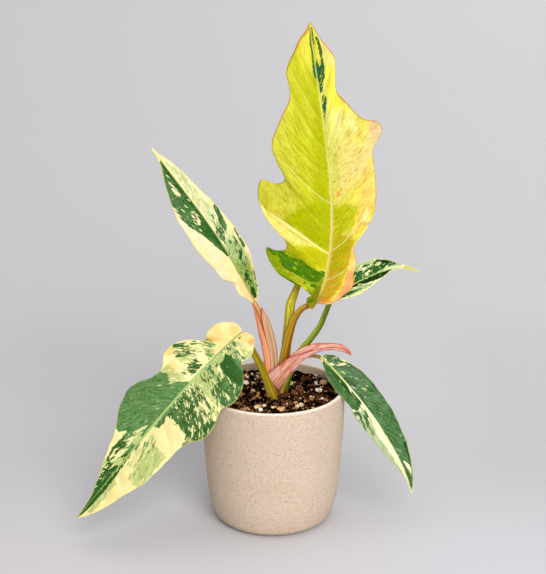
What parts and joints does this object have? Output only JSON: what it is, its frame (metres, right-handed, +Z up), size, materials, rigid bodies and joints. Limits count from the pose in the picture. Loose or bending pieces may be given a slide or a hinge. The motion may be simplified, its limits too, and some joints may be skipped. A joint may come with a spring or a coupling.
{
  "type": "potted_philodendron",
  "caption": "Potted caramel marble philodendron with long lobed, waved and variegated leaves and a pink bract on a short stem, in a plain round beige pot of dark soil",
  "frame": {"origin": "centre of the pot's foot, on the surface that it stands on", "axes": "+Z up, the front faces -Y, +X to the right"},
  "size_m": [0.2876, 0.1757, 0.4181],
  "materials": {
    "pot": "matte",
    "soil": "natural",
    "stem": "satin",
    "caramel_blade": "satin",
    "marbled_blade": "satin",
    "amber_stalk": "satin",
    "green_stalk": "satin",
    "salmon_stalk": "satin",
    "pink_bract": "satin"
  },
  "bodies": {
    "root": {"pot": "pot", "soil": "soil", "stem": "stem", "caramel_leaf_blade": "caramel_blade", "caramel_leaf_stalk": "amber_stalk", "left_leaf_blade": "marbled_blade", "left_leaf_stalk": "salmon_stalk", "front_leaf_blade": "marbled_blade", "front_leaf_stalk": "green_stalk", "right_leaf_blade": "marbled_blade", "right_leaf_stalk": "green_stalk", "back_leaf_blade": "marbled_blade", "back_leaf_stalk": "green_stalk", "hidden_leaf_blade": "marbled_blade", "hidden_leaf_stalk": "green_stalk", "pink_bract": "pink_bract", "bract_remnant": "pink_bract"}
  },
  "joints": []
}
